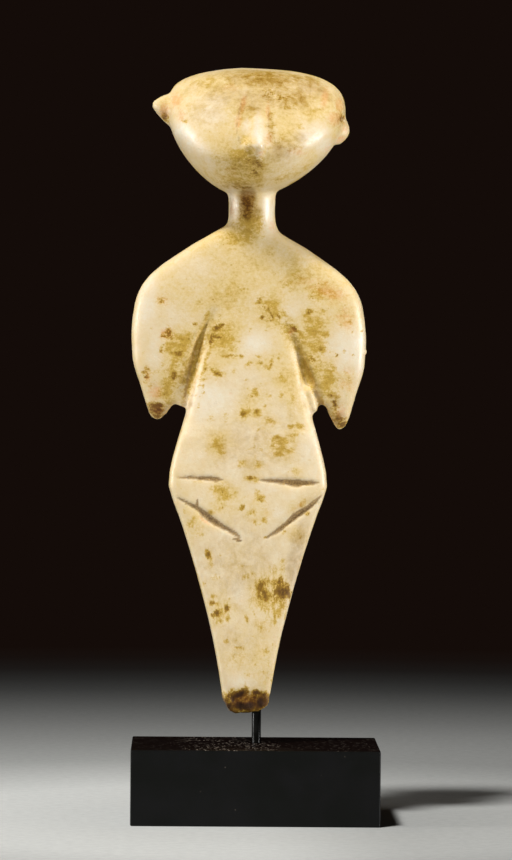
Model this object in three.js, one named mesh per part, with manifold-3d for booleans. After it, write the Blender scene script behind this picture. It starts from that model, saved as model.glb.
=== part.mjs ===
// A flat marble idol of a woman, carved in one piece, on a display rod and a black block.
// Millimetres, +Z up. The figure looks along -Y and the origin is the centre of the block's underside.
import * as THREE from "three";
import { mergeVertices } from "three/addons/utils/BufferGeometryUtils.js";
import { ConvexGeometry } from "three/addons/geometries/ConvexGeometry.js";
import Module from "manifold-3d";

// Driving sizes
const FIGURE_HEIGHT = 166;
const BLOCK_WIDTH = 63.5;
const BLOCK_DEPTH = 41;
const BLOCK_HEIGHT = 19.4;
const BLOCK_CHAMFER = 0.4;
const SOCKET_DEPTH = 12.4;
const ROD_DIAMETER = 2.4;
const ROD_X = 0.4;
const ROD_Y = 3;
const ROD_CHAMFER = 0.25;
const ROD_SIDES = 24;
const ROD_IN_FOOT = 8;
const FOOT_ABOVE_BLOCK = 7.8;
const FOOT_LEFT_OF_ROD = 2.7;
const FIT_GAP = 0.3;

// The figure's proportions. Every number is a share of its height: levels are measured up from the foot's
// underside, x from its own upright axis and y from the body's middle plane.

// The torso and legs: half the width, and how far the front and the back stand out, at each level.
const BODY_HALF_WIDTH = [
  [0, 0.033], [0.035, 0.0385], [0.1, 0.0495], [0.21, 0.077], [0.3, 0.105],
  [0.34, 0.1195], [0.3586, 0.1237], [0.378, 0.121], [0.46, 0.0993], [0.618, 0.0645], [0.75, 0.035],
];
const BODY_FRONT = [
  [0, 0.022], [0.06, 0.028], [0.2, 0.036], [0.36, 0.044], [0.48, 0.0395], [0.56, 0.0368], [0.62, 0.0356],
  [0.68, 0.0352], [0.75, 0.029],
];
const BODY_BACK = [
  [0, 0.022], [0.06, 0.027], [0.2, 0.034], [0.36, 0.046], [0.48, 0.0395], [0.56, 0.0365], [0.62, 0.0355],
  [0.68, 0.0352], [0.75, 0.029],
];
const BODY_POWER = 4.6;
const BODY_LEVELS = 34;
const BODY_SIDES = 40;

// The arms and shoulders: a slab whose outer line falls from the neck to the elbows' tips.
const ARM_OUTLINE = [
  [0.453, 0.143], [0.458, 0.1525], [0.482, 0.161], [0.507, 0.1685], [0.55, 0.181], [0.59, 0.183],
  [0.64, 0.177], [0.665, 0.166], [0.685, 0.149], [0.705, 0.122], [0.73, 0.084], [0.742, 0.062],
  [0.757, 0.037],
];
const ARM_THICKNESS = [
  [0.453, 0.013], [0.48, 0.022], [0.52, 0.029], [0.58, 0.033], [0.66, 0.0362], [0.72, 0.035], [0.757, 0.031],
];
const ARM_POWER = 3;
const ARM_LEVELS = 26;
const ARM_QUARTER = 7;
const ARM_OVERLAP = 0.004;

// The two arms differ a little. inner is the arm's inner edge as [level, x], from the web's lower end up to
// where the groove runs out on the chest. A thin web is left between arm and torso, and below it the stone is
// cut through. tip and end round the elbow, as [x, level]. rib is the narrow raised strip on the web, from
// its upper to its lower end, also as [x, level]. drop is how much lower the outer line lies at the elbow and
// at the neck.
const ARMS = [
  {
    side: -1,
    drop: [0, 0],
    inner: [
      [0.479, 0.117], [0.5132, 0.1093], [0.5473, 0.0969], [0.5876, 0.0814], [0.6186, 0.0659], [0.638, 0.058],
    ],
    tip: [0.126, 0.462],
    end: [0.1425, 0.4515],
    rib: { from: [0.0865, 0.562], to: [0.1045, 0.475], width: 0.0095, height: 0.006 },
  },
  {
    side: 1,
    drop: [0.0125, 0.005],
    inner: [
      [0.4805, 0.119], [0.5225, 0.1017], [0.5473, 0.0893], [0.5783, 0.0769], [0.5969, 0.0676], [0.626, 0.046],
    ],
    tip: [0.1295, 0.455],
    end: [0.1385, 0.4405],
    rib: { from: [0.0935, 0.507], to: [0.104, 0.4675], width: 0.0105, height: 0.012 },
  },
];
const WEB_FRONT = -0.015;
const WEB_BACK = 0.013;
const GROOVE_RUN_OUT = 0.075;
const GROOVE_BATTER = 0.006;
const GROOVE_MOUTH = 0.036;
const GROOVE_LEVELS = 12;
const GROOVE_LEAST = 0.003;
const TORSO_EDGE = 0.014;
const BACK_GROOVE_NARROWER = 0.008;
const CUT_REACH = 0.08;

// The neck
const NECK_X = 0.003;
const NECK_HALF_WIDTH = [
  [0.69, 0.075], [0.735, 0.053], [0.752, 0.0405], [0.77, 0.0365], [0.8, 0.037], [0.835, 0.041],
];
const NECK_DEPTH_SHARE = 0.88;
const NECK_DEEPEST = 0.041;
const NECK_LEVELS = 12;
const NECK_SIDES = 28;

// The head: a wide bowl that leans back. Levels run from -1 at the chin to 1 at the crown.
const HEAD_CENTRE = [0.0095, 0.9318];
const HEAD_ROLL_DEG = 2;
const HEAD_HALF_WIDTH = 0.139;
const HEAD_UP = 0.0695;
const HEAD_DOWN = 0.134;
const HEAD_UP_POWER = 2.85;
const HEAD_DOWN_POWER = 1.65;
const HEAD_ROUNDNESS = [[-1, 0.95], [-0.6, 0.85], [-0.3, 0.72], [0, 0.63], [0.5, 0.58], [1, 0.53]];
const HEAD_FORWARD = [[-1, 0.002], [-0.65, 0.007], [-0.3, 0], [0, -0.013], [0.5, -0.025], [1, -0.031]];
const HEAD_SIDEWAYS = [[-1, -0.01], [-0.5, -0.003], [0, 0], [1, 0]];
const HEAD_SIDES = 40;
const HEAD_STEP_DEG = 6.75;

// Ears: lugs at the head's sides, each with a small hollow in its face. root is the lug's middle as [x, z] in
// the head's own frame, tall half its height, reach how far it stands out, lift how far its tip rises, and
// taper how much it narrows towards the tip.
const EARS = [
  { root: [-0.1335, -0.001], tall: 0.027, reach: 0.0305, lift: 0.007, taper: 0.5, hollow: [-0.1435, -0.012] },
  { root: [0.1275, -0.015], tall: 0.031, reach: 0.019, lift: -0.007, taper: 0.42, hollow: [0.1365, -0.007] },
];
const EAR_HALF_DEPTH = 0.017;
const EAR_HOLLOW_RADIUS = 0.0075;
const EAR_HOLLOW_DEPTH = 0.0045;

// Nose: a long low ridge that widens and stands out towards its blunt lower end.
const NOSE_TOP = [0.0015, 0.03];
const NOSE_MIDDLE = [0.0008, -0.012];
const NOSE_TIP = [0, -0.055];
const NOSE_TOP_HALF_WIDTH = 0.009;
const NOSE_TIP_HALF_WIDTH = 0.0235;
const NOSE_RIDGE_HALF_WIDTH = 0.007;
const NOSE_STANDS_OUT = 0.0125;
const NOSE_MIDDLE_SHARE = 0.5;
const NOSE_BLUNTNESS = 0.012;
const SUNK = 0.004;

// The four strokes of the triangle cut into the body's front: where each starts and ends as [x, level], how
// far along it is widest, and its width there.
const STROKES = [
  { from: [-0.1155, 0.3705], to: [-0.0405, 0.3605], widest: 0.72, width: 0.0065 },
  { from: [0.004, 0.3605], to: [0.1125, 0.353], widest: 0.62, width: 0.0095 },
  { from: [-0.109, 0.339], to: [-0.0145, 0.267], widest: 0.5, width: 0.0085 },
  { from: [0.1135, 0.3435], to: [0.0265, 0.2715], widest: 0.45, width: 0.009 },
];
const STROKE_DEPTH = 0.0055;
const STROKE_TIP_SHARE = 0.12;
const STROKE_SECTIONS = 10;

// The foot's broken end: planes that take off its lower front edge and its corners. Each has a point that it
// passes through and the direction in which the stone is gone.
const FOOT_BREAKS = [
  { at: [0, -0.026, 0.036], away: [0, -0.94, -0.34] },
  { at: [0.0282, 0, 0.0062], away: [0.6, -0.1, -0.79] },
  { at: [-0.0311, 0, 0.0113], away: [-0.85, -0.12, -0.5] },
];

const wasm = await Module();
wasm.setup();

const H = FIGURE_HEIGHT;

// A smooth curve through a list of [place, value] stations that never overshoots them.
function through(stations) {
  const n = stations.length;
  const slope = stations.slice(1).map(([u, v], i) => (v - stations[i][1]) / (u - stations[i][0]));
  const tangent = stations.map((_, i) => {
    if (i === 0) return slope[0];
    if (i === n - 1) return slope[n - 2];
    const [before, after] = [slope[i - 1], slope[i]];
    return before * after <= 0 ? 0 : (2 * before * after) / (before + after);
  });
  return (u) => {
    const at = THREE.MathUtils.clamp(u, stations[0][0], stations[n - 1][0]);
    let i = 0;
    while (i < n - 2 && at > stations[i + 1][0]) i += 1;
    const span = stations[i + 1][0] - stations[i][0];
    const t = (at - stations[i][0]) / span;
    const [a, b] = [stations[i][1], stations[i + 1][1]];
    return (
      a * (1 + 2 * t) * (1 - t) ** 2 + b * t * t * (3 - 2 * t) +
      span * (tangent[i] * t * (1 - t) ** 2 + tangent[i + 1] * t * t * (t - 1))
    );
  };
}

// A signed power, for outlines between an ellipse and a rectangle.
function bent(value, power) {
  return Math.sign(value) * Math.abs(value) ** (2 / power);
}

// Evenly spaced numbers, both ends included.
function steps(from, to, count) {
  return Array.from({ length: count + 1 }, (_, i) => from + ((to - from) * i) / count);
}

function geometryFrom(points, indices) {
  const geometry = new THREE.BufferGeometry();
  geometry.setAttribute("position", new THREE.Float32BufferAttribute(points.flatMap((p) => p.toArray()), 3));
  geometry.setIndex(indices);
  return geometry;
}

// A closed skin over a stack of rings that run anticlockwise seen from above, lowest ring first.
function loft(rings) {
  const count = rings[0].length;
  const points = rings.flat();
  const indices = [];
  for (let level = 0; level < rings.length - 1; level += 1) {
    for (let i = 0; i < count; i += 1) {
      const a = level * count + i;
      const b = level * count + ((i + 1) % count);
      indices.push(a, b, b + count, a, b + count, a + count);
    }
  }
  for (const [ring, start, faceUp] of [[rings[0], 0, false], [rings.at(-1), points.length - count, true]]) {
    const middle = ring.reduce((sum, p) => sum.add(p), new THREE.Vector3()).divideScalar(count);
    const centre = points.push(middle) - 1;
    for (let i = 0; i < count; i += 1) {
      const a = start + i;
      const b = start + ((i + 1) % count);
      indices.push(centre, ...(faceUp ? [a, b] : [b, a]));
    }
  }
  return geometryFrom(points, indices);
}

// A geometry as a manifold solid.
function solid(geometry) {
  const bare = geometry.clone();
  bare.deleteAttribute("normal");
  bare.deleteAttribute("uv");
  const merged = mergeVertices(bare, 1e-4);
  return new wasm.Manifold(
    new wasm.Mesh({
      numProp: 3,
      vertProperties: new Float32Array(merged.attributes.position.array),
      triVerts: new Uint32Array(merged.index.array),
    }),
  );
}

// A manifold solid as a flat-shaded geometry.
function geometryOf(made) {
  const mesh = made.getMesh();
  const geometry = new THREE.BufferGeometry();
  geometry.setAttribute("position", new THREE.BufferAttribute(mesh.vertProperties, 3));
  geometry.setIndex(new THREE.BufferAttribute(mesh.triVerts, 1));
  const faceted = geometry.toNonIndexed();
  faceted.computeVertexNormals();
  return faceted;
}

const halfWidthAt = through(BODY_HALF_WIDTH);
const frontAt = through(BODY_FRONT);
const backAt = through(BODY_BACK);

// One level of the body: a rounded oblong whose front and back stand out differently.
function bodyRing(level) {
  return Array.from({ length: BODY_SIDES }, (_, i) => {
    const angle = (2 * Math.PI * i) / BODY_SIDES;
    const out = Math.sin(angle) < 0 ? frontAt(level) : backAt(level);
    return new THREE.Vector3(
      halfWidthAt(level) * bent(Math.cos(angle), BODY_POWER),
      out * bent(Math.sin(angle), BODY_POWER),
      level,
    ).multiplyScalar(H);
  });
}

// The place on the body's front at x and level, both shares of the height.
function onFront([x, level], above = 0) {
  const across = Math.min(Math.abs(x) / halfWidthAt(level), 1);
  const out = frontAt(level) * (1 - across ** BODY_POWER) ** (1 / BODY_POWER);
  return new THREE.Vector3(x, -out - above, level).multiplyScalar(H);
}

function body() {
  const top = BODY_HALF_WIDTH.at(-1)[0];
  return solid(loft(steps(0, top, BODY_LEVELS).map(bodyRing)));
}

// One arm with its half of the shoulders, from the figure's middle out to the arm's outer line.
function armSlab({ side, drop }) {
  const outline = through(ARM_OUTLINE);
  const thickness = through(ARM_THICKNESS);
  const lowest = ARM_OUTLINE[0][0];
  const highest = ARM_OUTLINE.at(-1)[0];
  const rings = steps(0, 1, ARM_LEVELS).map((t) => {
    const level = lowest + (highest - lowest) * t ** 1.35;
    const reach = outline(level);
    const lowered = level - THREE.MathUtils.lerp(...drop, t);
    const out = thickness(level);
    const ring = steps(-Math.PI / 2, Math.PI / 2, 2 * ARM_QUARTER).map((angle) =>
      new THREE.Vector3(reach * bent(Math.cos(angle), ARM_POWER), out * bent(Math.sin(angle), ARM_POWER), 0));
    ring.push(new THREE.Vector3(-ARM_OVERLAP, out, 0));
    ring.unshift(new THREE.Vector3(-ARM_OVERLAP, -out, 0));
    const placed = ring.map((p) => new THREE.Vector3(side * p.x, p.y, lowered).multiplyScalar(H));
    return side < 0 ? placed.reverse() : placed;
  });
  return solid(loft(rings));
}

// A groove taken out between arm and torso, down to the web, from the front or from the back. It runs out
// to nothing at its upper end.
function groove({ side, inner }, facing) {
  const web = facing < 0 ? WEB_FRONT : WEB_BACK;
  const narrower = facing < 0 ? 0 : BACK_GROOVE_NARROWER;
  const edgeAt = through(inner);
  const low = inner[0][0] - CUT_REACH;
  const high = inner.at(-1)[0];
  const floorAt = through([[high - GROOVE_RUN_OUT, web], [high, facing * GROOVE_MOUTH]]);
  const levels = [low, ...steps(inner[0][0], high, GROOVE_LEVELS)];
  const rings = levels.map((level) => {
    const edge = edgeAt(level) - narrower;
    const wall = [-1, CUT_REACH / GROOVE_MOUTH - 1].map((out) => edge + GROOVE_BATTER * out);
    const inside = Math.min(Math.max(halfWidthAt(level) - TORSO_EDGE, edge / 2), wall[0] - GROOVE_LEAST);
    const floor = floorAt(level);
    const mouth = facing * CUT_REACH;
    const ring = [[inside, mouth], [wall[1], mouth], [wall[0], floor], [inside, floor]]
      .map(([x, y]) => new THREE.Vector3(side * x, y, level).multiplyScalar(H));
    return side * facing < 0 ? ring : ring.reverse();
  });
  return solid(loft(rings));
}

// The open notch below the web, which also rounds the elbow's tip.
function notch({ side, inner, tip, end }) {
  const [webEnd, edge] = inner[0];
  const below = end[1] - CUT_REACH / 2;
  const inside = halfWidthAt(webEnd) * 0.6;
  const shape = new THREE.Shape();
  shape.moveTo(side * inside * H, webEnd * H);
  shape.lineTo(side * edge * H, webEnd * H);
  shape.quadraticCurveTo(side * tip[0] * H, tip[1] * H, side * end[0] * H, end[1] * H);
  shape.lineTo(side * (end[0] + CUT_REACH / 2) * H, below * H);
  shape.lineTo(side * inside * H, below * H);
  shape.closePath();
  const depth = 2 * CUT_REACH * H;
  const cut = new THREE.ExtrudeGeometry(shape, { depth, bevelEnabled: false, curveSegments: 6 });
  cut.translate(0, 0, -depth / 2);
  cut.rotateX(Math.PI / 2);
  return solid(cut);
}

// The narrow raised strip on the web.
function webRib({ side, rib }) {
  const half = rib.width / 2;
  const points = [rib.from, rib.to].flatMap(([x, level]) =>
    [-half, half].flatMap((across) => [
      new THREE.Vector3(side * (x + across * 0.7), WEB_FRONT - rib.height, level),
      new THREE.Vector3(side * (x + across), (WEB_FRONT + WEB_BACK) / 2, level),
    ]));
  return solid(new ConvexGeometry(points.map((p) => p.multiplyScalar(H))));
}

function arms() {
  return ARMS.map((arm) =>
    armSlab(arm).subtract(groove(arm, -1)).subtract(groove(arm, 1)).subtract(notch(arm)).add(webRib(arm)),
  ).reduce((left, right) => left.add(right));
}

function neck() {
  const widthAt = through(NECK_HALF_WIDTH);
  const rings = steps(NECK_HALF_WIDTH[0][0], NECK_HALF_WIDTH.at(-1)[0], NECK_LEVELS).map((level) => {
    const half = widthAt(level);
    const deep = Math.min(half, NECK_DEEPEST) * NECK_DEPTH_SHARE;
    return Array.from({ length: NECK_SIDES }, (_, i) => {
      const angle = (2 * Math.PI * i) / NECK_SIDES;
      const place = new THREE.Vector3(NECK_X + half * Math.cos(angle), deep * Math.sin(angle), level);
      return place.multiplyScalar(H);
    });
  });
  return solid(loft(rings));
}

const roundnessAt = through(HEAD_ROUNDNESS);
const forwardAt = through(HEAD_FORWARD);
const sidewaysAt = through(HEAD_SIDEWAYS);

// A point of the head's surface in its own frame: rise goes from -90 degrees at the chin to 90 at the crown,
// around is 0 at the figure's left side and -90 at the face.
function onHead(rise, around) {
  const power = rise < 0 ? HEAD_DOWN_POWER : HEAD_UP_POWER;
  const share = bent(Math.sin(rise), power);
  const reach = HEAD_HALF_WIDTH * bent(Math.cos(rise), power);
  return new THREE.Vector3(
    reach * Math.cos(around) + sidewaysAt(share),
    reach * roundnessAt(share) * Math.sin(around) - forwardAt(share),
    share * (rise < 0 ? HEAD_DOWN : HEAD_UP),
  );
}

// The head's front at x and z in its own frame, found by walking round and up its surface.
function headFront(x, z) {
  const power = z < 0 ? HEAD_DOWN_POWER : HEAD_UP_POWER;
  const share = z / (z < 0 ? HEAD_DOWN : HEAD_UP);
  const reach = HEAD_HALF_WIDTH * (1 - Math.abs(share) ** power) ** (1 / power);
  const out = reach * roundnessAt(share) * Math.sqrt(Math.max(0, 1 - ((x - sidewaysAt(share)) / reach) ** 2));
  return -out - forwardAt(share);
}

function skull() {
  const most = 90 - HEAD_STEP_DEG / 2;
  const rises = steps(-most, most, Math.round((2 * most) / HEAD_STEP_DEG)).map(THREE.MathUtils.degToRad);
  return loft(rises.map((rise) =>
    Array.from({ length: HEAD_SIDES }, (_, i) => onHead(rise, (2 * Math.PI * i) / HEAD_SIDES))));
}

function ear({ root, tall, reach, lift, taper }) {
  const lug = new THREE.SphereGeometry(1, 16, 10);
  lug.scale(reach, EAR_HALF_DEPTH, tall);
  const positions = lug.attributes.position;
  for (let i = 0; i < positions.count; i += 1) {
    const out = Math.max(0, (positions.getX(i) * Math.sign(root[0])) / reach);
    positions.setY(i, positions.getY(i) * (1 - taper * 0.5 * out));
    positions.setZ(i, positions.getZ(i) * (1 - taper * out) + lift * out);
  }
  return lug.translate(root[0], -forwardAt(0), root[1]);
}

// The small hollow in an ear's face.
function earHollow({ hollow }) {
  const dent = new THREE.SphereGeometry(EAR_HOLLOW_RADIUS, 12, 8);
  const face = -forwardAt(0) - EAR_HALF_DEPTH * 0.8;
  return dent.translate(hollow[0], face - EAR_HOLLOW_RADIUS + EAR_HOLLOW_DEPTH, hollow[1]);
}

function nose() {
  const corner = (place, across, out) => {
    const x = place[0] + across;
    return new THREE.Vector3(x, headFront(x, place[1]) - out, place[1]);
  };
  const below = [NOSE_TIP[0], NOSE_TIP[1] - NOSE_BLUNTNESS];
  const middleOut = NOSE_STANDS_OUT * NOSE_MIDDLE_SHARE;
  const both = [-1, 1];
  const points = [
    ...both.map((i) => corner(NOSE_TOP, i * NOSE_TOP_HALF_WIDTH, -SUNK)),
    ...both.map((i) => corner(NOSE_TOP, i * NOSE_RIDGE_HALF_WIDTH * 0.3, SUNK * 0.3)),
    ...both.map((i) => corner(NOSE_MIDDLE, i * NOSE_RIDGE_HALF_WIDTH * 0.6, middleOut)),
    ...both.map((i) => corner(NOSE_TIP, i * NOSE_TIP_HALF_WIDTH, -SUNK)),
    ...both.map((i) => corner(NOSE_TIP, i * NOSE_RIDGE_HALF_WIDTH, NOSE_STANDS_OUT)),
    ...both.map((i) => corner(below, i * NOSE_TIP_HALF_WIDTH * 0.6, -SUNK)),
  ];
  return new ConvexGeometry(points);
}

function head() {
  const place = new THREE.Matrix4().makeTranslation(HEAD_CENTRE[0] * H, 0, HEAD_CENTRE[1] * H);
  place.multiply(new THREE.Matrix4().makeRotationY(THREE.MathUtils.degToRad(HEAD_ROLL_DEG)));
  place.multiply(new THREE.Matrix4().makeScale(H, H, H));
  const placed = (geometry) => solid(geometry.applyMatrix4(place));
  const whole = [skull(), nose(), ...EARS.map(ear)].map(placed).reduce((sum, piece) => sum.add(piece));
  return EARS.map(earHollow).map(placed).reduce((left, dent) => left.subtract(dent), whole);
}

// A carved stroke: a V-shaped furrow that follows the body's front and thins out towards both ends.
function stroke({ from, to, widest, width }) {
  const start = new THREE.Vector2(...from);
  const finish = new THREE.Vector2(...to);
  const across = finish.clone().sub(start).normalize().rotateAround(new THREE.Vector2(), Math.PI / 2);
  const fullness = through([[0, STROKE_TIP_SHARE], [widest, 1], [1, STROKE_TIP_SHARE]]);
  const rings = steps(0, 1, STROKE_SECTIONS).map((t) => {
    const middle = start.clone().lerp(finish, t);
    const full = fullness(t);
    const lips = [1, -1].map((i) =>
      onFront(middle.clone().addScaledVector(across, i * full * width).toArray(), full * STROKE_DEPTH));
    return [...lips, onFront(middle.toArray(), -full * STROKE_DEPTH)];
  });
  return solid(loft(rings));
}

// A large box whose near face lies on a plane, for breaking off what is beyond it.
function beyond({ at, away }) {
  const side = 0.2 * H;
  const box = new THREE.BoxGeometry(side, side, side).translate(0, 0, side / 2);
  const direction = new THREE.Vector3(...away).normalize();
  const turn = new THREE.Quaternion().setFromUnitVectors(new THREE.Vector3(0, 0, 1), direction);
  box.applyQuaternion(turn).translate(...at.map((v) => v * H));
  return solid(box);
}

// An upright round hole that clears the rod.
function rodHole(length) {
  const radius = ROD_DIAMETER / 2 + FIT_GAP;
  return new THREE.CylinderGeometry(radius, radius, length, ROD_SIDES).rotateX(Math.PI / 2);
}

// The hole drilled up into the foot for the rod, open below.
function footHole() {
  const depth = ROD_IN_FOOT + FIT_GAP;
  return solid(rodHole(2 * depth).translate(FOOT_LEFT_OF_ROD, 0, 0));
}

function figure() {
  const whole = body().add(arms()).add(neck()).add(head());
  return [...STROKES.map(stroke), ...FOOT_BREAKS.map(beyond), footHole()]
    .reduce((left, cut) => left.subtract(cut), whole);
}

const socketFloor = BLOCK_HEIGHT - SOCKET_DEPTH;

// The block: a box with slightly eased edges and a blind hole for the rod.
function block() {
  const half = [BLOCK_WIDTH, BLOCK_DEPTH, BLOCK_HEIGHT].map((size) => size / 2);
  const signs = [-1, 1];
  const corners = [0, 1, 2].flatMap((flush) => {
    const [x, y, z] = half.map((size, axis) => (axis === flush ? size : size - BLOCK_CHAMFER));
    return signs.flatMap((i) => signs.flatMap((j) => signs.map((k) =>
      new THREE.Vector3(i * x, j * y, k * z + BLOCK_HEIGHT / 2))));
  });
  const socket = rodHole(BLOCK_HEIGHT).translate(ROD_X, ROD_Y, socketFloor + BLOCK_HEIGHT / 2);
  return solid(new ConvexGeometry(corners)).subtract(solid(socket));
}

// The rod: upright, with eased ends, from the socket's floor up into the foot.
function rod() {
  const bottom = socketFloor + FIT_GAP;
  const top = BLOCK_HEIGHT + FOOT_ABOVE_BLOCK + ROD_IN_FOOT;
  const radius = ROD_DIAMETER / 2;
  const profile = [
    [0, bottom], [radius - ROD_CHAMFER, bottom], [radius, bottom + ROD_CHAMFER],
    [radius, top - ROD_CHAMFER], [radius - ROD_CHAMFER, top], [0, top],
  ].map(([r, z]) => new THREE.Vector2(r, z));
  return new THREE.LatheGeometry(profile, ROD_SIDES).rotateX(Math.PI / 2);
}

function named(name, geometry, material) {
  const mesh = new THREE.Mesh(geometry, material);
  mesh.name = name;
  return mesh;
}

const marble = new THREE.MeshStandardMaterial({ color: 0xe3cfa4, roughness: 0.4, metalness: 0 });
const blackPaint = new THREE.MeshStandardMaterial({ color: 0x121212, roughness: 0.45, metalness: 0 });
const blackLacquer = new THREE.MeshStandardMaterial({ color: 0x161616, roughness: 0.5, metalness: 0 });

const idol = new THREE.Group();

const figureMesh = named("figure", geometryOf(figure()), marble);
figureMesh.position.set(ROD_X - FOOT_LEFT_OF_ROD, ROD_Y, BLOCK_HEIGHT + FOOT_ABOVE_BLOCK);

const rodMesh = named("rod", rod(), blackPaint);
rodMesh.position.set(ROD_X, ROD_Y, 0);

idol.add(figureMesh, rodMesh, named("block", geometryOf(block()), blackLacquer));

export default idol;
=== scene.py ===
import math

import bmesh
import bpy
import numpy as np
from mathutils import Matrix, Vector


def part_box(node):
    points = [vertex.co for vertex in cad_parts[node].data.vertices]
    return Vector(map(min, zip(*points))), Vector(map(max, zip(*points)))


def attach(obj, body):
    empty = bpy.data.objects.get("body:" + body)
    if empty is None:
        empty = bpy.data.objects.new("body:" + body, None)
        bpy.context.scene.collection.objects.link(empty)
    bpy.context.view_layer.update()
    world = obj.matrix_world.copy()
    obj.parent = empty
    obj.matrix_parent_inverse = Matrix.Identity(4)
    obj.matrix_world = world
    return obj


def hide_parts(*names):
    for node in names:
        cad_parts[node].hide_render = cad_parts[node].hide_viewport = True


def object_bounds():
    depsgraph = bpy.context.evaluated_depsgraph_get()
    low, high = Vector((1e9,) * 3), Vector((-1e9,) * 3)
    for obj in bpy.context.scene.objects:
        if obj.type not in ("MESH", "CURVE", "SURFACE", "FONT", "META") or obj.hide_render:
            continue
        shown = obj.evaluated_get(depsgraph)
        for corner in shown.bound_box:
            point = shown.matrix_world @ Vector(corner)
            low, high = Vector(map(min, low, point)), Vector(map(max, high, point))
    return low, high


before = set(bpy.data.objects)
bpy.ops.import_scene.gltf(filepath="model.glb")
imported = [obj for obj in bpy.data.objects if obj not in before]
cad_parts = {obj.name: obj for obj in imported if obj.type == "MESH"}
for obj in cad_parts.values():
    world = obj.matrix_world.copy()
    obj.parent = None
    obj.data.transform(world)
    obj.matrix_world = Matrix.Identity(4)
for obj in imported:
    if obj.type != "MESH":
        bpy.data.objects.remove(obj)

CAD_BOX = [[float(v) for v in corner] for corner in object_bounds()]
MM = 0.001

# How the photograph sees the object. The eye is level with the jaw, a long way off and left of the middle.
PHOTO_WIDTH = 512
PHOTO_HEIGHT = 860
SENSOR_MM = 36.0
FOCAL_PX = 4988.0
EYE = Vector((-17.0 * MM, -1282.5 * MM, 130.3 * MM))
LEVEL_PX = (188.0, 313.0)
ROLL_ABOUT_PX = (255.2, 828.0)
ROLL = math.radians(0.45)

# The figure as the CAD places it, in millimetres, and how square the sections of its torso and legs are.
HEIGHT = 166.0
FOOT_Z = 27.2
AXIS_X = -2.3
MIDDLE_Y = 3.0
BODY_POWER = 4.6

# The finished figure: the size of its faces, how often it is smoothed, and how square the front corners of
# torso and legs are, between which levels. It lies a little inside the solid and the CAD's box.
FIGURE_VOXEL = 0.474 * MM
ROUGH_ROUNDS = 3
SMOOTH_ROUNDS = 26
LAST_ROUNDS = 3
LAST_PULL = 0.6
REFILL_ROUNDS = 30
CORNER_POWER = 8.0
CORNER_LEVELS = (0.02, 0.48, 93)
SINK_MM = 0.04
BOX_MARGIN = 0.01 * MM

# Where the grooves beside the torso run: levels and distances from the axis, as shares of the height.
GROOVE_LEVELS = [0.46, 0.479, 0.547, 0.6, 0.64]
GROOVE_PLACES = [0.11, 0.105, 0.085, 0.068, 0.058]

# The rod and the block: how far their edges are rounded, the room around the rod in its hole, and how far
# above the block the drill for that hole starts.
ROD_EASE = 0.25 * MM
ROD_SIDES = 48
BLOCK_EASE = 0.4 * MM
SOCKET_GAP = 0.3 * MM
DRILL_OVER = 2 * MM

# How a mark fades outwards: how strong it is in the middle, before it is cut to 1, and how fast that falls.
# Noise bends the marks by some pixels, ochre is stronger above the waist, and MARK_MOST is the limit.
MARK_FULL = 1.3
MARK_FALL = 0.75
BEND_PX = 3.0
WAIST_PX = 425
UPPER_OCHRE = 1.1
MARK_MOST = 1.5

# The values of the smooth noise, and the factors that pick one of them for a cell.
NOISE_VALUES = 4096
NOISE_FACTORS = (73856093, 19349663, 83492791)

# The stone's colours from clean to most stained.
STONE = [
    (0.00, (0.93, 0.89, 0.82)), (0.12, (0.86, 0.77, 0.60)), (0.26, (0.82, 0.665, 0.42)),
    (0.40, (0.76, 0.57, 0.25)), (0.54, (0.61, 0.40, 0.075)), (0.68, (0.37, 0.205, 0.022)),
    (0.82, (0.16, 0.075, 0.014)), (1.00, (0.040, 0.019, 0.010)),
]
ROSE_TINT = (1.0, 0.62, 0.42)
DIRT_AND_SHADE_TINT = (0.40, 0.27, 0.13)
CRUST_DARK = (0.16, 0.078, 0.024)
CRUST_LIGHT = (0.56, 0.37, 0.15)

# The floor's painted pool of light, from the object's middle outwards: distance in millimetres and grey.
FLOOR_LIGHT_POOL = [
    (0.0, 0.62), (45.0, 0.63), (70.0, 0.665), (90.0, 0.67), (110.0, 0.60), (171.0, 0.38), (240.0, 0.27),
    (314.0, 0.175), (360.0, 0.125), (400.0, 0.086), (441.0, 0.053), (488.0, 0.029), (540.0, 0.011),
    (600.0, 0.003), (660.0, 0.0),
]
FLOOR_TINT = (0.985, 1.0, 0.965)
FLOOR_RADIUS = 4.0
ROOM = (0.0070, 0.0037, 0.0027)

# The lights: name, place, what they point at, width and height in metres, and power in watts.
LIGHTS = [
    ("key", (-0.57, -0.68, 2.05), (0.0, 0.0, 0.08), (0.26, 0.26), 44.0),
    ("left", (-0.84, -0.12, 0.15), (0.0, 0.0, 0.10), (0.22, 0.24), 3.7),
    ("right", (0.82, -0.24, 0.14), (0.0, 0.0, 0.12), (0.24, 0.22), 6.2),
    ("front", (-0.05, -1.65, 0.42), (0.0, 0.0, 0.14), (0.9, 0.30), 9.0),
]
LIGHT_COLOUR = (1.0, 0.99, 0.98)

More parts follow.
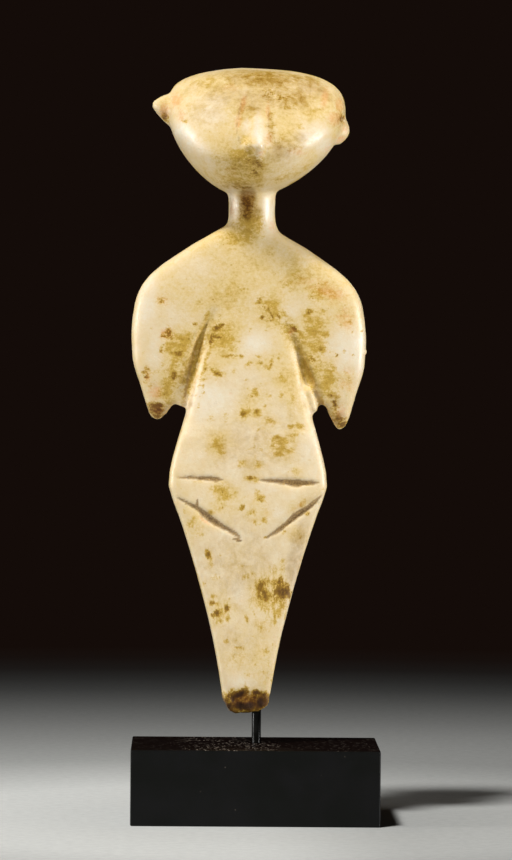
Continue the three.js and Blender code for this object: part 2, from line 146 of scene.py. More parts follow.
# The marks on the figure's front, each a soft ellipse placed as the photograph shows it:
# across and down in its pixels, half width, half height, turn in degrees, strength.
OCHRE = [
    (217, 373, 6, 4, 10, 1.0), (212, 370, 2.5, 2.5, 0, 0.8), (228, 356, 9, 1.8, 2, 0.95),
    (241, 356, 2.6, 2.4, 0, 1.0), (250, 330, 1.8, 1.8, 0, 0.7), (266, 330, 2, 2, 0, 0.7),
    (259, 356, 3.2, 1.6, 0, 0.95), (248, 364, 4.2, 1.8, -25, 0.85), (260, 363, 3.4, 2.2, 10, 1.0),
    (272, 361, 2, 6, 12, 0.95), (270, 367, 3.8, 2.2, -20, 0.95), (265, 369, 3, 1.6, 0, 0.6),
    (279, 358, 1.7, 4, 0, 0.85), (208, 366, 3.2, 2.2, 0, 0.9), (205, 371, 1.6, 4, 0, 0.85),
    (204, 379, 2.8, 2.6, 0, 0.9), (217, 379, 2.2, 2, 0, 0.75), (233, 371, 3.5, 2.6, 0, 0.6),
    (246, 380, 1.4, 1.4, 0, 0.7), (281, 374, 3.2, 5, 0, 0.7), (284, 381, 3.4, 3, 0, 0.7),
    (285, 391, 2, 2, 0, 0.6), (254, 393, 5, 4.4, 0, 0.78), (257, 397, 3, 2, 0, 0.75),
    (269, 397, 3.2, 3, 0, 0.9), (281, 395, 2.4, 4.4, 0, 0.82), (292, 399, 2, 4.6, 0, 0.75),
    (244, 413, 4.6, 6, 20, 1.1), (257, 412, 4.4, 3.8, -20, 1.1), (265, 407, 3, 2.5, 0, 0.55),
    (226, 418, 3, 5, 0, 0.6), (211, 419, 4, 4, 0, 0.5), (224, 410, 1.5, 1.5, 0, 0.55),
    (269, 421, 6, 4, 10, 0.62), (299, 426, 4, 3, 0, 1.0), (291, 427, 3.4, 3, 0, 0.95),
    (258, 430, 2, 3, 0, 0.7), (259, 425, 2, 2, 0, 0.55), (220, 436, 4, 4, 0, 0.75),
    (275, 438, 5, 3, 0, 1.0), (217, 445, 6.5, 4, 5, 1.1), (218, 440, 3, 3, 0, 0.95),
    (221, 452, 4, 2.6, 20, 1.0), (206, 450, 1.5, 1.5, 0, 0.6), (250, 449, 4, 2, 0, 0.85),
    (254, 443, 1.6, 5, 0, 0.6), (259, 449, 2.4, 1.8, 0, 0.65), (280, 446, 8, 8, 0, 0.72),
    (279, 454, 6, 2.6, 0, 1.05), (287, 441, 6, 4, 20, 0.85), (291, 452, 4, 3, 0, 0.85),
    (273, 444, 2.5, 6, 0, 0.85), (294, 436, 4, 4, 0, 0.65), (284, 448, 4, 3, 0, 0.8),
    (242, 463, 4.6, 3.8, 0, 0.95), (258, 465, 3.8, 3.6, 0, 1.0), (256, 458, 1.2, 4, 0, 0.55),
    (279, 473, 1.3, 2.5, 0, 0.75), (295, 472, 3, 5, 0, 0.75), (309, 460, 1.5, 1.5, 0, 0.5),
    (251, 478, 5, 2.2, 8, 1.15), (256, 481, 4, 2.4, 10, 0.9), (243, 478, 3, 1.6, 0, 0.6),
    (197, 482, 4, 2.5, 0, 0.65), (219, 490, 9, 4.5, 5, 0.9), (225, 496, 5.5, 4.5, 0, 1.05),
    (234, 494, 3, 3, 0, 0.75), (214, 494, 3, 5, 0, 0.7), (222, 506, 4, 4, 0, 0.62),
    (258, 493, 3, 3.4, 0, 0.9), (261, 499, 4.4, 3.8, 0, 1.1), (244, 496, 1.5, 1.5, 0, 0.65),
    (242, 508, 3.4, 3.2, 0, 1.15), (252, 513, 4.2, 3.6, 0, 0.85), (255, 522, 2.8, 2.6, 0, 1.0),
    (264, 521, 5, 4, 0, 0.85), (259, 525, 4, 1.6, 0, 0.65), (274, 510, 1.5, 1.5, 0, 0.5),
    (211, 513, 4, 3.4, 0, 1.0), (185, 510, 4, 4, 0, 0.5), (303, 504, 6, 3, -35, 0.8),
    (323, 489, 1.8, 2.6, 0, 0.75), (296, 533, 1.4, 8, -32, 0.6), (301, 537, 1.2, 7, -32, 0.6),
    (190, 526, 3.4, 3, 0, 0.85), (193, 520, 3.4, 4.4, 0, 0.7), (200, 534, 5, 2.4, 15, 0.75),
    (193, 537, 3, 2, 0, 0.5), (209, 557, 2.8, 7, -18, 1.2), (211, 565, 1.6, 3, 0, 0.65),
    (221, 554, 1.8, 1.5, 20, 0.7), (241, 567, 3, 2.5, 0, 0.65), (281, 561, 3.2, 2, 0, 0.9),
    (283, 568, 1.6, 5, 0, 0.65), (274, 568, 1.4, 2, 0, 0.5), (245, 577, 5, 2.2, 0, 0.7),
    (251, 574, 5, 2.4, 20, 0.7), (259, 583, 5, 5, 0, 1.1), (262, 590, 7, 9, 0, 1.25),
    (265, 597, 6, 8, 0, 1.1), (271, 598, 16, 22, 0, 0.85), (257, 592, 2.5, 7, 0, 0.9),
    (261, 604, 4, 7, 0, 0.75), (267, 608, 1.6, 6, -10, 0.85), (270, 601, 2, 6, 0, 0.7),
    (277, 573, 1.8, 5, 0, 0.85), (280, 582, 3.4, 7, 0, 1.1), (283, 592, 8, 8, 15, 1.35),
    (277, 591, 3, 4, 0, 1.0), (275, 603, 4, 6, 0, 0.85), (281, 604, 1.5, 7, -8, 0.9),
    (280, 613, 6, 7, 0, 0.85), (274, 620, 3.4, 5, 0, 0.8), (284, 606, 2.5, 6, 0, 0.75),
    (260, 629, 5, 3.4, 0, 0.66), (268, 631, 5, 3, 0, 0.55), (266, 653, 5, 4, 0, 0.68),
    (273, 647, 2.4, 8, 0, 0.6), (268, 664, 4, 4, 0, 0.6), (264, 673, 5, 4, 0, 0.5),
    (214, 578, 4.4, 4, 0, 0.68), (204, 585, 1.6, 3.4, 0, 0.85), (213, 596, 3, 3, 0, 0.75),
    (214, 604, 4, 2.6, 0, 1.2), (230, 600, 2, 2, 0, 0.5), (227, 608, 4, 5, 10, 1.1),
    (217, 615, 4.6, 3.6, 0, 1.25), (222, 611, 4, 4, 0, 0.85), (219, 621, 3.6, 3, 0, 0.95),
    (228, 618, 3, 4, 0, 0.85), (246, 600, 1.4, 4, 0, 0.55), (246, 619, 2.6, 3.4, 0, 0.85),
    (254, 638, 1.5, 1.5, 0, 0.7), (225, 641, 3, 2, 15, 0.85), (238, 640, 1.8, 1.4, 0, 0.8),
    (237, 648, 4, 1.3, 18, 1.05), (243, 649, 1.3, 3, 0, 0.75), (235, 659, 6, 4, 0, 0.6),
    (242, 656, 4, 3, 0, 0.8), (254, 666, 2, 2.5, 0, 0.9), (245, 686, 2, 3, 0, 0.7),
    (229, 668, 5, 3, 0, 0.5), (248, 676, 6, 3, 0, 0.45), (293, 327, 5, 3, 35, 1.0),
    (303, 336, 7, 4, 35, 1.0), (283, 314, 5, 3, 50, 0.95), (273, 316, 2.2, 5, -20, 1.0),
    (262, 318, 2.2, 4, 15, 0.95), (279, 319, 2, 5, -10, 0.95), (268, 311, 4, 4, 0, 0.95),
    (260, 301, 4, 5, 0, 0.95), (268, 303, 5, 3, 40, 0.85), (275, 308, 4, 3, 30, 0.8),
    (309, 313, 5, 4, 0, 0.95), (324, 311, 2.5, 2, 0, 0.8), (313, 330, 7, 7, 0, 0.85),
    (324, 334, 4, 3, 0, 0.9), (311, 346, 7, 5, 0, 0.85), (322, 348, 9, 5, 10, 0.9),
    (313, 359, 4.4, 5, 0, 0.95), (330, 369, 7, 5, 20, 0.85), (326, 377, 6, 6, 0, 0.8),
    (333, 384, 7, 7, 0, 0.8), (324, 388, 4, 6, 0, 0.78), (334, 396, 7, 7, 0, 0.8), (309, 322, 4, 4, 0, 0.8),
    (177, 353, 9, 6, 0, 1.1), (180, 342, 10, 8, 0, 0.86), (188, 337, 4, 5, 0, 0.75),
    (170, 347, 6, 8, 30, 0.78), (165, 365, 4, 3, 0, 0.7), (174, 374, 4, 6, 0, 1.0),
    (168, 384, 6, 5, 0, 0.85), (162, 392, 4, 5, 0, 0.75), (168, 400, 5, 8, 20, 0.75),
    (195, 324, 2.2, 2.2, 0, 0.95), (189, 338, 2.2, 2.2, 0, 0.95), (200, 303, 2.6, 3, 0, 0.85),
    (162, 301, 5, 4, 0, 0.75), (157, 371, 7, 2, -35, 0.7), (242, 289, 5, 2, 0, 0.8),
    (232, 283, 3, 1.5, 0, 0.7), (255, 270, 10, 4, 0, 0.25), (235, 247, 7, 4, 0, 0.5),
    (270, 255, 8, 4, 0, 0.38), (247, 233, 10, 9, 0, 0.72), (290, 285, 9, 5, 20, 0.62),
    (318, 296, 10, 5, 10, 0.7), (257, 75, 20, 5, 0, 0.45), (243, 77, 6, 3, 0, 0.5),
    (305, 80, 8, 3.4, 10, 0.55), (281, 97, 16, 6, 5, 0.36), (295, 107, 18, 3, 0, 0.38),
    (270, 128, 4, 20, 0, 0.6), (316, 108, 8, 4, 0, 0.4), (300, 126, 3, 3.2, 0, 1.0),
    (289, 117, 8, 4, 0, 0.3), (244, 146, 6, 4, 0, 0.35), (236, 153, 10, 6, 0, 0.6),
    (222, 161, 8, 4, 10, 0.5), (238, 183, 16, 6, 0, 0.75), (250, 226, 13, 12, 0, 0.85),
    (282, 178, 10, 4, -20, 0.6), (283, 140, 8, 5, 0, 0.45), (262, 165, 8, 8, 0, 0.3),
    (200, 82, 8, 3, -20, 0.5), (293, 148, 9, 4, 0, 0.4), (185, 122, 3, 2, 0, 0.9),
    (342, 117, 4, 4, 0, 0.85), (337, 418, 7, 5, 0, 0.8), (156, 411, 9, 8, 0, 0.85),
    (213, 333, 4, 9, 20, 0.75), (206, 316, 2, 6, 25, 0.9), (230, 343, 10, 7, 0, 0.6),
    (197, 354, 4.5, 30, 16, 0.85), (189, 382, 4, 18, 14, 0.95), (186, 366, 5, 24, 16, 0.8),
    (209, 352, 2, 36, 17, 0.75), (202, 392, 1.8, 20, 14, 0.6), (176, 364, 8, 14, 20, 0.72),
    (169, 391, 7, 12, 15, 0.8), (300, 350, 4.5, 24, -20, 0.85), (339, 311, 2, 1.6, 0, 0.85),
    (350, 322, 2.2, 1.8, 0, 0.8), (345, 331, 2, 1.4, 0, 0.75), (354, 313, 1.4, 2, 0, 0.7),
    (336, 322, 1.6, 1.4, 0, 0.7), (345, 305, 2.4, 1.4, 20, 0.7), (352, 332, 1.4, 1.2, 0, 0.65),
    (341, 325, 1.5, 1.8, 0, 0.8), (329, 300, 2.4, 1.6, 0, 0.75), (336, 293, 2, 1.3, 0, 0.7),
    (345, 372, 2, 1.5, 0, 0.75), (350, 380, 1.5, 2, 0, 0.7), (343, 388, 2, 2, 0, 0.75),
    (348, 396, 1.6, 1.4, 0, 0.65), (338, 372, 1.8, 1.3, 0, 0.7), (150, 386, 2, 2.4, 0, 0.75),
    (146, 395, 1.6, 2, 0, 0.7), (152, 365, 1.5, 1.2, 0, 0.65), (143, 352, 1.4, 1.4, 0, 0.65),
    (171, 318, 1.8, 1.4, 0, 0.65), (183, 316, 2, 1.4, 0, 0.6), (152, 328, 1.3, 1.6, 0, 0.55),
    (298, 344, 6, 12, -30, 0.62), (309, 372, 4, 18, -14, 0.7), (318, 368, 6, 14, -22, 0.72),
    (327, 384, 8, 14, -15, 0.72), (276, 318, 12, 8, 35, 0.7), (286, 330, 9, 5, 40, 0.7),
    (300, 352, 4, 10, -25, 0.6), (313, 378, 4, 12, -18, 0.6), (321, 403, 3, 8, 0, 1.2),
]
UMBER = [
    (217, 328, 5, 2.6, -25, 0.95), (222, 324, 2.4, 1.8, 0, 0.85), (212, 340, 2.4, 6, 22, 0.95),
    (219, 338, 4, 1.3, 5, 0.75), (213, 333, 1.5, 8, 20, 0.6), (195, 324, 1.5, 1.5, 0, 0.6),
    (189, 338, 1.5, 1.5, 0, 0.6), (232, 356, 5, 1.1, 4, 0.6), (241, 356, 2, 2, 0, 0.65),
    (260, 363, 2.4, 1.2, 10, 0.55), (271, 365, 1.2, 3, 12, 0.55), (205, 371, 1.2, 3, 0, 0.5),
    (218, 374, 4, 2.4, 20, 0.6), (242, 415, 3, 3, 25, 0.55), (256, 412, 2.5, 2.2, 0, 0.5),
    (252, 477, 4, 1.6, 8, 0.7), (242, 508, 2.4, 2.2, 0, 0.8), (261, 500, 2.6, 2.2, 0, 0.5),
    (209, 556, 1.8, 5, -18, 0.8), (261, 587, 4, 7, 0, 0.85), (264, 594, 4.6, 5, 0, 0.9),
    (280, 584, 2.6, 7, 0, 0.85), (283, 592, 8, 7, 15, 1.1), (270, 592, 16, 14, 0, 0.35),
    (213, 604, 3.4, 2.2, 0, 0.9), (216, 614, 4, 3, 0, 0.95), (227, 608, 2.8, 3.4, 10, 0.8),
    (272, 682, 1.6, 5, 0, 0.6), (294, 329, 4, 1.6, 50, 0.85), (272, 316, 1.4, 4, -20, 0.75),
    (262, 318, 1.4, 3, 15, 0.7), (279, 318, 1.4, 4, -10, 0.75), (268, 311, 1.5, 3, 0, 0.65),
    (259, 300, 2, 3, 0, 0.7), (263, 306, 3, 1.4, 30, 0.6), (309, 313, 3.4, 2, 0, 0.7),
    (313, 359, 3, 3.4, 0, 0.7), (334, 403, 3, 3, 0, 0.9), (330, 398, 3, 4, 0, 0.5),
    (336, 355, 1.3, 2.6, 0, 0.9), (344, 351, 1.2, 1.8, 0, 0.75), (353, 355, 1.2, 1.6, 0, 0.6),
    (362, 331, 1.6, 1.3, 0, 0.7), (168, 334, 4, 6, 0, 0.72), (164, 336, 4, 3, 0, 0.65),
    (162, 348, 2, 4, 20, 0.7), (178, 353, 5, 3, 0, 0.5), (146, 375, 4, 7, 0, 0.66),
    (174, 376, 3, 4, 0, 0.6), (148, 404, 5, 3, 20, 0.7), (158, 406, 7, 3.4, 0, 0.85),
    (157, 416, 6, 4, 0, 0.7), (153, 412, 4, 5, 0, 0.6), (339, 419, 7, 2, 0, 0.9),
    (342, 425, 5, 3.4, 0, 0.95), (335, 408, 4, 5, 0, 0.6), (162, 301, 3, 3, 0, 0.6),
    (268, 93, 6, 4, 0, 0.5), (281, 97, 8, 2.6, 0, 0.4), (258, 163, 5, 8, 0, 0.5), (250, 160, 6, 5, 0, 0.4),
    (255, 172, 4, 5, 0, 0.42), (242, 188, 8, 2.4, 0, 0.5), (246, 143, 3, 3, 0, 0.35),
    (247, 204, 7, 9, 0, 0.72), (247, 216, 6, 4, 0, 0.6), (166, 119, 2.6, 5, -30, 0.8),
    (342, 120, 3, 4, 0, 0.75), (233, 699, 4, 8, 0, 1.3), (240, 695, 8, 4, -25, 1.4),
    (246, 689, 3, 2, 0, 0.8), (257, 694, 5, 3, 0, 1.2), (264, 699, 4, 6, 0, 1.3), (229, 707, 4, 5, 0, 1.5),
    (245, 707, 14, 5, 0, 1.5), (260, 704, 6, 7, 0, 1.45), (297, 483, 15, 2.6, 2, 0.75),
    (307, 513, 3, 2.4, 0, 0.75), (284, 532, 2, 2, 0, 0.65), (266, 538, 2, 1.4, 0, 0.7),
]
ROSE = [
    (243, 104, 3.6, 9, 14, 0.85), (238, 122, 3.4, 10, 10, 0.8), (230, 88, 9, 5, 0, 0.6),
    (268, 112, 2.5, 12, 0, 0.75), (269, 138, 4, 8, 0, 0.75), (260, 153, 5, 5, 0, 0.6),
    (176, 101, 7, 8, 0, 0.8), (165, 110, 6, 8, 0, 0.85), (181, 116, 5, 6, 0, 0.7), (325, 98, 4, 10, 8, 0.9),
    (340, 105, 5, 9, -10, 0.8), (336, 119, 8, 7, 0, 0.85), (340, 140, 6, 5, 0, 0.75),
    (330, 150, 7, 6, 0, 0.65), (298, 152, 12, 5, 0, 0.6), (345, 128, 5, 8, 0, 0.6),
    (272, 226, 4, 7, 0, 0.7), (233, 210, 5, 12, 0, 0.55), (231, 172, 8, 5, 20, 0.4),
    (346, 319, 12, 14, 0, 0.6), (330, 292, 18, 9, 20, 0.75), (348, 371, 7, 5, 0, 0.55),
    (347, 384, 9, 8, 0, 0.55), (341, 412, 6, 8, 0, 0.7), (155, 392, 7, 9, 0, 0.8), (147, 376, 4, 8, 0, 0.7),
    (158, 410, 9, 8, 0, 0.7), (166, 334, 8, 8, 0, 0.7), (163, 301, 7, 6, 0, 0.6),
    (292, 331, 3, 5, 30, 0.85), (281, 612, 4, 8, 0, 0.35), (230, 394, 2, 3, 0, 0.5),
    (247, 700, 22, 9, 0, 0.8), (205, 521, 9, 2, 34, 0.8), (300, 506, 12, 3, -38, 0.6),
    (268, 630, 10, 16, 0, 0.35), (318, 285, 30, 8, 15, 0.5),
]
HONEY = [
    (250, 262, 60, 30, 0, 0.5), (233, 300, 34, 26, 0, 0.62), (212, 310, 12, 16, 0, 0.2),
    (225, 338, 16, 20, 0, 0.95), (240, 235, 22, 14, 0, 0.95), (181, 343, 15, 18, 25, 0.95),
    (170, 385, 9, 22, 20, 0.85), (190, 300, 30, 22, 0, 0.5), (268, 305, 18, 16, 0, 0.85),
    (316, 330, 13, 26, 0, 0.95), (328, 385, 12, 24, 0, 0.95), (325, 292, 22, 14, 0, 0.85),
    (300, 270, 30, 20, 20, 0.7), (346, 318, 12, 14, 0, 0.6), (346, 378, 8, 10, 0, 0.6),
    (295, 340, 10, 30, -25, 0.8), (290, 385, 9, 40, -12, 0.6), (245, 165, 36, 24, 0, 1.0),
    (225, 182, 26, 10, 25, 0.6), (275, 80, 50, 14, 5, 0.85), (290, 100, 40, 12, 5, 0.7),
    (215, 85, 30, 14, -15, 0.7), (200, 112, 24, 14, 0, 0.55), (240, 110, 24, 18, 0, 0.6),
    (312, 112, 22, 14, 0, 0.6), (248, 145, 12, 14, 0, 0.8), (290, 140, 20, 14, 0, 0.6),
    (300, 170, 24, 10, -25, 0.6), (247, 215, 12, 22, 0, 0.95), (285, 122, 20, 10, 0, 0.35),
    (165, 105, 8, 10, 0, 0.5), (338, 118, 10, 22, 0, 0.6), (262, 596, 16, 20, 0, 0.7),
    (280, 596, 10, 26, 0, 0.75), (221, 611, 14, 14, 0, 0.7), (280, 446, 16, 13, 0, 0.8),
    (218, 445, 9, 13, 0, 0.75), (222, 496, 15, 14, 0, 0.75), (253, 398, 12, 12, 0, 0.5),
    (250, 412, 14, 9, 0, 0.6), (258, 510, 12, 14, 0, 0.5), (240, 657, 14, 12, 0, 0.6),
    (262, 660, 14, 24, 0, 0.6), (193, 526, 10, 14, 0, 0.55), (250, 640, 30, 20, 0, 0.35),
    (235, 560, 30, 16, 0, 0.3), (265, 625, 14, 10, 0, 0.5), (300, 428, 8, 6, 0, 0.6),
    (268, 362, 16, 8, 0, 0.55), (213, 372, 12, 10, 0, 0.6), (282, 378, 8, 8, 0, 0.6),
    (157, 412, 8, 9, 0, 0.7), (247, 700, 18, 9, 0, 0.9), (204, 334, 8, 26, 20, 1.0),
    (190, 376, 8, 24, 16, 0.9), (305, 364, 8, 34, -18, 1.0), (262, 120, 100, 66, 0, 0.4),
    (252, 464, 12, 6, 0, 0.5), (253, 479, 9, 4, 0, 0.6), (297, 471, 5, 7, 0, 0.5),
    (296, 533, 6, 10, -30, 0.6), (300, 506, 12, 6, -35, 0.6), (210, 560, 4, 9, 0, 0.6),
    (270, 425, 14, 8, 0, 0.4),
]
# Pale stone and painted highlights: the marks on the cheeks, on the nose and on the sides of the neck are
# painted highlights.
PALE_AND_HIGHLIGHTS = [
    (147, 305, 11, 34, 0, 0.62), (356, 350, 9, 26, 0, 0.62), (334, 344, 14, 12, 0, 0.45),
    (290, 312, 8, 12, 0, 0.5), (183, 133, 8, 10, -30, 1.0), (191, 142, 7, 10, -35, 0.9),
    (200, 150, 12, 6, 35, 0.7), (206.5, 335, 2.2, 11, 16, 0.6), (210, 115, 22, 12, 0, 0.5),
    (312, 135, 14, 9, 0, 0.7), (326, 146, 8, 8, 0, 0.7), (247, 125, 4, 6, 0, 0.8),
    (258.5, 138, 4.2, 20, -2, 1.1), (268, 212, 6, 20, 0, 0.9), (232, 205, 5, 14, 0, 0.7),
    (214, 402, 24, 22, 0, 0.65), (255, 342, 14, 12, 0, 0.6), (250, 380, 14, 8, 0, 0.4),
    (195, 440, 12, 26, 0, 0.4), (310, 445, 12, 26, 0, 0.35), (240, 428, 12, 12, 0, 0.4),
    (240, 535, 30, 10, 0, 0.4), (238, 590, 12, 20, 0, 0.6), (230, 630, 14, 12, 0, 0.4),
    (312, 395, 3, 12, -15, 0.5), (250, 560, 14, 10, 0, 0.4), (155, 345, 8, 14, 0, 0.6),
    (248, 570, 90, 110, 0, 0.32), (252, 425, 54, 60, 0, 0.18), (165, 318, 16, 18, 0, 0.25),
    (200, 262, 26, 12, -28, 0.2), (345, 345, 9, 26, 0, 0.55), (318, 300, 16, 10, 0, 0.1),
    (300, 262, 20, 9, 28, 0.15), (340, 398, 8, 16, 0, 0.3), (285, 170, 16, 8, -25, 0.4),
    (212, 162, 12, 10, 35, 0.4), (243, 683, 14, 6, 0, 0.5), (262, 300, 8, 6, 0, 0.2),
]
# Soft dirt and painted shade, without an edge of its own. The marks on the neck below the chin, under the
# nose and along the grooves beside the torso are painted shade.
DIRT_AND_SHADE = [
    (247, 203, 8, 14, 0, 1.2), (247, 212, 12, 8, 0, 0.7), (250, 172, 24, 14, 0, 0.2),
    (258, 164, 6, 9, 0, 0.45), (225, 172, 12, 6, 25, 0.15), (270, 80, 50, 12, 5, 0.62),
    (285, 98, 36, 14, 5, 0.55), (268, 96, 14, 10, 0, 0.6), (247, 230, 14, 10, 0, 0.2),
    (240, 186, 20, 5, 0, 0.5), (214, 330, 5, 14, 20, 0.3), (174, 345, 10, 10, 0, 0.2),
    (172, 380, 8, 14, 20, 0.3), (316, 340, 10, 18, 0, 0.2), (334, 402, 7, 10, 0, 0.5),
    (156, 410, 9, 8, 0, 0.8), (339, 418, 7, 6, 0, 0.7), (268, 590, 14, 12, 0, 0.25),
    (189, 362, 4, 30, 18, 0.2), (307, 360, 3, 28, -20, 0.2), (247, 702, 20, 9, 0, 0.6),
    (165, 113, 6, 8, 0, 0.45), (341, 119, 5, 8, 0, 0.4), (222, 94, 26, 16, 0, 0.45),
    (250, 100, 24, 16, 0, 0.5), (268, 315, 12, 10, 0, 0.3), (300, 122, 24, 10, 0, 0.2),
    (300, 138, 10, 8, 0, 0.4), (205, 112, 26, 18, 0, 0.34), (308, 86, 22, 10, 15, 0.62),
    (230, 206, 4, 16, 0, 0.6), (195, 88, 16, 8, -25, 0.4), (330, 95, 14, 10, 25, 0.35),
    (282, 151, 16, 12, 0, 0.5), (203, 352, 3.5, 32, 17, 0.3), (191, 400, 3, 26, 17, 0.5),
    (294, 350, 4, 30, -17, 0.3), (303, 395, 3, 22, -12, 0.4), (238, 562, 46, 52, 0, 0.34),
    (296, 556, 9, 50, 12, 0.52), (240, 640, 30, 30, 0, 0.3), (250, 450, 60, 40, 0, 0.36),
    (250, 390, 46, 30, 0, 0.2), (290, 420, 20, 24, 0, 0.3), (270, 130, 5, 22, 0, 0.4),
    (250, 138, 3, 9, 0, 0.35),
]

# Dark lines in the corners of the grooves: points in the photograph's pixels, half width and strength.
LINES = [
    (((206, 316), (199, 333), (192, 354), (185, 372), (179, 392)), 1.0, 0.16),
    (((191, 366), (188, 378), (185, 396)), 1.5, 0.5),
    (((286, 322), (295, 335), (303, 349), (309, 363), (315, 380), (320, 400)), 1.1, 0.24),
    (((316, 392), (321, 403)), 1.8, 0.55),
    (((292, 332), (299, 350)), 1.0, 0.2),
    (((241, 103), (236, 128), (240, 143)), 1.0, 0.3),
    (((268, 110), (269, 128)), 1.0, 0.28),
]

# The carved strokes, in the photograph's pixels: their points, how far along they are widest, half width in
# pixels and depth in millimetres.
STROKES = [
    (((173.5, 476.6), (206, 478.4), (223.5, 480.2)), 0.84, 1.9, 0.30),
    (((260, 480.4), (274, 481.2), (298, 483.4), (319, 482.9)), 0.66, 2.7, 0.50),
    (((176.8, 497.5), (197, 508.5), (214, 521.4), (240.6, 537.6)), 0.55, 2.5, 0.50),
    (((233, 538.6), (243.4, 542.3)), 0.60, 1.2, 0.22),
    (((198, 498.5), (196.4, 507.0)), 0.70, 1.3, 0.20),
    (((321.8, 495.8), (308.6, 507.7), (296, 516), (281, 528.6), (265.5, 538.6)), 0.42, 2.7, 0.50),
]

# Small forms, as how high they rise in millimetres and their marks: a bump on an arm's edge and a ridge
# beside a groove, the worn left of the crown, and the nose's lower end.
FORMS = [
    (0.35, [(366, 352, 1.6, 1.6, 0, 1.0), (206.5, 334, 1.9, 12, 16, 1.0)]),
    (-0.5, [(203, 71, 24, 8, -12, 1.0)]),
    (0.8, [(258.5, 150, 4.5, 8, 0, 1.0), (248, 144, 4, 4, 0, 0.4)]),
]


def link(data, name):
    """A new object in the scene."""
    thing = bpy.data.objects.new(name, data)
    bpy.context.scene.collection.objects.link(thing)
    return thing


def mesh_of(form, name):
    mesh = bpy.data.meshes.new(name)
    form.to_mesh(mesh)
    form.free()
    return mesh


def applied(thing):
    """The mesh of an object with its modifiers applied."""
    shape = thing.evaluated_get(bpy.context.evaluated_depsgraph_get())
    return bpy.data.meshes.new_from_object(shape)


def seen(points):
    """Where points of the object, in metres, lie in the photograph, in pixels."""
    ahead = points[:, 1] - EYE.y
    x = LEVEL_PX[0] + (points[:, 0] - EYE.x) * FOCAL_PX / ahead
    y = LEVEL_PX[1] - (points[:, 2] - EYE.z) * FOCAL_PX / ahead
    dx = x - ROLL_ABOUT_PX[0]
    dy = y - ROLL_ABOUT_PX[1]
    c, s = math.cos(ROLL), math.sin(ROLL)
    return np.stack([ROLL_ABOUT_PX[0] + c * dx - s * dy, ROLL_ABOUT_PX[1] + s * dx + c * dy], axis=1)


def make_camera():
    data = bpy.data.cameras.new("camera")
    data.lens = SENSOR_MM * FOCAL_PX / PHOTO_HEIGHT
    data.sensor_width = SENSOR_MM
    data.clip_end = 20.0
    camera = link(data, "camera")
    dx = PHOTO_WIDTH / 2 - ROLL_ABOUT_PX[0]
    dy = PHOTO_HEIGHT / 2 - ROLL_ABOUT_PX[1]
    c, s = math.cos(ROLL), math.sin(ROLL)
    x = ROLL_ABOUT_PX[0] + c * dx + s * dy
    y = ROLL_ABOUT_PX[1] - s * dx + c * dy
    forward = Vector(((x - LEVEL_PX[0]) / FOCAL_PX, 1.0, -(y - LEVEL_PX[1]) / FOCAL_PX)).normalized()
    level_right = forward.cross(Vector((0, 0, 1))).normalized()
    level_up = level_right.cross(forward)
    right = level_right * c + level_up * s
    up = level_up * c - level_right * s
    turn = Matrix((right, up, -forward)).transposed().to_4x4()
    camera.matrix_world = Matrix.Translation(EYE) @ turn
    bpy.context.scene.camera = camera


def smooth(low, high, value):
    """0 below low, 1 above high, and a soft step between them."""
    t = np.clip((value - low) / (high - low), 0.0, 1.0)
    return t * t * (3.0 - 2.0 * t)


def near(full, gone, distance):
    """1 up to the first distance, 0 past the second."""
    return 1.0 - smooth(full, gone, distance)


def noise3(points, size, seed):
    """Smooth value noise from 0 to 1, with features of the given size."""
    rng = np.random.default_rng(seed)
    table = rng.random(NOISE_VALUES)
    q = points / size + 1000.0
    cell = np.floor(q).astype(np.int64)
    f = q - cell
    f = f * f * (3.0 - 2.0 * f)
    total = np.zeros(len(points))
    for corner in np.ndindex(2, 2, 2):
        key = np.bitwise_xor.reduce((cell + corner) * NOISE_FACTORS, axis=1)
        x, y, z = np.where(corner, f, 1.0 - f).T
        total += table[np.abs(key) % NOISE_VALUES] * x * y * z
    return total


def fractal(points, size, seed, octaves=3):
    """Noise of several sizes, each half as large and half as strong as the one before."""
    total = np.zeros(len(points))
    weight = 0.0
    for i in range(octaves):
        amount = 0.5 ** i
        total += amount * noise3(points, size * 0.5 ** i, seed + i)
        weight += amount
    return total / weight


def faded(far):
    """How strong a mark is at a distance from its middle, where 1 is its own half width."""
    return np.clip(MARK_FULL - MARK_FALL * far, 0.0, 1.0)


def painted(marks, pixels):
    """The strongest of the marks at each point. A mark is full in its middle and fades out past its edge."""
    total = np.zeros(len(pixels))
    for x, y, wide, high, turn, strength in marks:
        angle = math.radians(turn)
        dx = pixels[:, 0] - x
        dy = pixels[:, 1] - y
        along = dx * math.cos(angle) + dy * math.sin(angle)
        across = -dx * math.sin(angle) + dy * math.cos(angle)
        total = np.maximum(total, strength * faded(np.sqrt((along / wide) ** 2 + (across / high) ** 2)))
    return total


def along_line(points, pixels):
    """How far along a line of points each pixel lies, 0 to 1, and how far off it, in pixels."""
    points = np.array(points, dtype=float)
    steps = np.hypot(*(points[1:] - points[:-1]).T)
    whole = steps.sum()
    best_far = np.full(len(pixels), np.inf)
    best_along = np.zeros(len(pixels))
    done = 0.0
    for start, end, length in zip(points[:-1], points[1:], steps):
        run = (end - start) / length
        dx = pixels[:, 0] - start[0]
        dy = pixels[:, 1] - start[1]
        along = np.clip(dx * run[0] + dy * run[1], 0.0, length)
        far = np.hypot(dx - along * run[0], dy - along * run[1])
        nearer = far < best_far
        best_far = np.where(nearer, far, best_far)
        best_along = np.where(nearer, (done + along) / whole, best_along)
        done += length
    return best_along, best_far


def lined(lines, pixels):
    """The strongest of the lines at each point."""
    total = np.zeros(len(pixels))
    for points, half, strength in lines:
        _, far = along_line(points, pixels)
        total = np.maximum(total, strength * faded(far / half))
    return total


